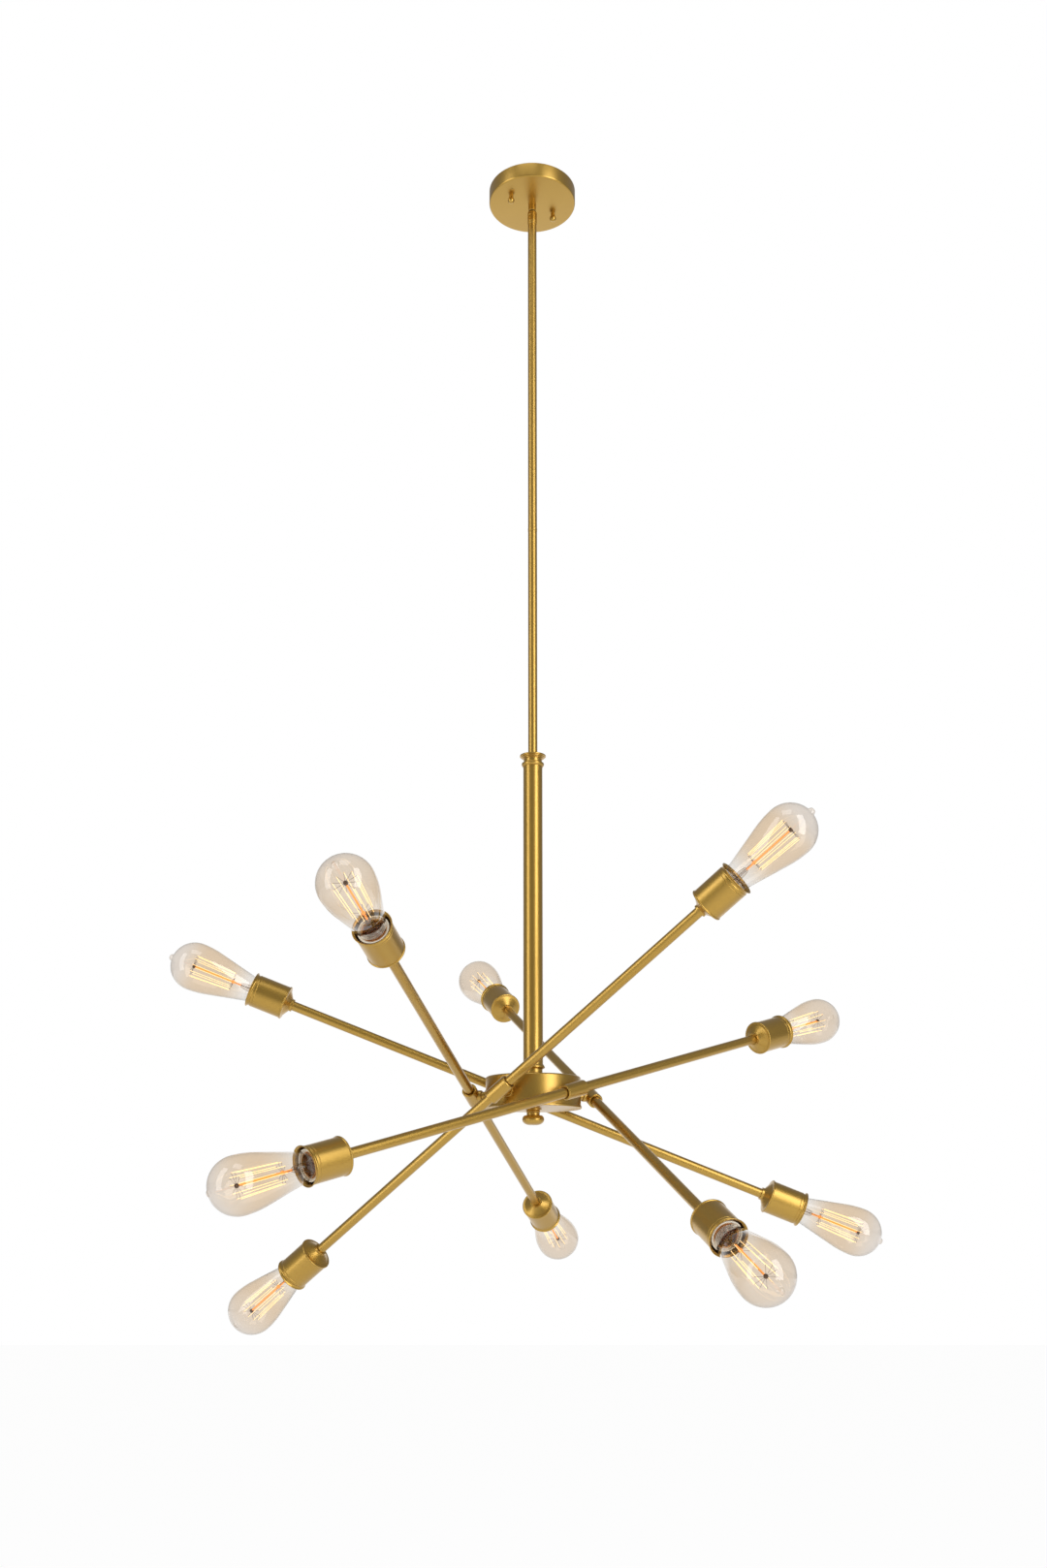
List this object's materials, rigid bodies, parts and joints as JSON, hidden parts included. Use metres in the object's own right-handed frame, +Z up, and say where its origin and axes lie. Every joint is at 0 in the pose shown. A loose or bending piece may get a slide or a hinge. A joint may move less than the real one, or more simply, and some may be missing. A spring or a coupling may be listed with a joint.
{
  "type": "sputnik chandelier",
  "caption": "Sputnik ceiling light: canopy, swivel, thin stem and thick column over a round drum hub, with tilting double-ended arms that carry teardrop filament bulbs in brass cups.",
  "frame": {"origin": "centre of the ceiling plane, on the upper face of the crossbar, level with the canopy's rim", "axes": "+Z up along the hanging stem; the view of the picture looks along +Y, with +X to its right"},
  "size_m": [0.9362, 0.8965, 1.5722],
  "materials": {
    "satin_brass": "satin",
    "zinc_steel": "satin",
    "green_screw": "satin",
    "ivory_holder": "matte",
    "cap_brass": "gloss",
    "amber_glass": "gloss",
    "filament": "satin"
  },
  "bodies": {
    "canopy": {"crossbar": "zinc_steel", "canopy_studs": "zinc_steel", "stud_nuts": "zinc_steel", "ground_screw": "green_screw", "canopy_cup": "satin_brass", "ball_nuts": "satin_brass", "canopy_nipple": "zinc_steel", "canopy_locknut": "zinc_steel", "swivel_collar": "satin_brass"},
    "swivel": {"swivel_ball": "satin_brass"},
    "stem": {"swivel_housing": "satin_brass", "pivot_screws": "satin_brass", "stem_upper": "satin_brass", "stem_coupler": "satin_brass", "stem_lower": "satin_brass", "column_ends": "satin_brass", "column_tube": "satin_brass", "drum_can": "satin_brass", "drum_cover": "satin_brass", "hub_nipple": "zinc_steel", "hub_locknut": "zinc_steel", "finial": "satin_brass", "neck_bushes": "satin_brass"},
    "arm_a": {"arm_a_barrel": "satin_brass", "arm_a_rods": "satin_brass", "arm_a_cups": "satin_brass", "arm_a_holders": "ivory_holder", "arm_a_bulb_caps": "cap_brass", "arm_a_bulb_glass": "amber_glass", "arm_a_filaments": "filament"},
    "arm_b": {"arm_b_barrel": "satin_brass", "arm_b_rods": "satin_brass", "arm_b_cups": "satin_brass", "arm_b_holders": "ivory_holder", "arm_b_bulb_caps": "cap_brass", "arm_b_bulb_glass": "amber_glass", "arm_b_filaments": "filament"},
    "arm_c": {"arm_c_barrel": "satin_brass", "arm_c_rods": "satin_brass", "arm_c_cups": "satin_brass", "arm_c_holders": "ivory_holder", "arm_c_bulb_caps": "cap_brass", "arm_c_bulb_glass": "amber_glass", "arm_c_filaments": "filament"},
    "arm_d": {"arm_d_barrel": "satin_brass", "arm_d_rods": "satin_brass", "arm_d_cups": "satin_brass", "arm_d_holders": "ivory_holder", "arm_d_bulb_caps": "cap_brass", "arm_d_bulb_glass": "amber_glass", "arm_d_filaments": "filament"},
    "arm_e": {"arm_e_barrel": "satin_brass", "arm_e_rods": "satin_brass", "arm_e_cups": "satin_brass", "arm_e_holders": "ivory_holder", "arm_e_bulb_caps": "cap_brass", "arm_e_bulb_glass": "amber_glass", "arm_e_filaments": "filament"}
  },
  "joints": [
    {"name": "swivel_turn", "type": "hinge", "parent": "canopy", "child": "swivel", "pos_m": [0, 0, -0.0369], "axis": [0, 0, 1], "range_deg": [-170, 170]},
    {"name": "swivel_tilt", "type": "hinge", "parent": "swivel", "child": "stem", "pos_m": [0, 0, -0.0369], "axis": [-0.5736, -0.8192, 0], "range_deg": [-15, 15]},
    {"name": "arm_a_turn", "type": "hinge", "parent": "stem", "child": "arm_a", "pos_m": [-0.0412, -0.06857, -1.2687], "axis": [-0.515, -0.8572, 0], "range_deg": [-27.5, 44.5]},
    {"name": "arm_b_turn", "type": "hinge", "parent": "stem", "child": "arm_b", "pos_m": [0.0498, -0.06261, -1.2687], "axis": [0.6225, -0.7826, 0], "range_deg": [-7.2, 64.8]},
    {"name": "arm_c_turn", "type": "hinge", "parent": "stem", "child": "arm_c", "pos_m": [-0.00697, 0.0797, -1.2687], "axis": [-0.0872, 0.9962, 0], "range_deg": [-13.4, 58.6]},
    {"name": "arm_d_turn", "type": "hinge", "parent": "stem", "child": "arm_d", "pos_m": [-0.07702, 0.02165, -1.2687], "axis": [-0.9627, 0.2706, 0], "range_deg": [-14.8, 57.2]},
    {"name": "arm_e_turn", "type": "hinge", "parent": "stem", "child": "arm_e", "pos_m": [0.07423, 0.02984, -1.2687], "axis": [0.9278, 0.373, 0], "range_deg": [-19, 53]}
  ]
}
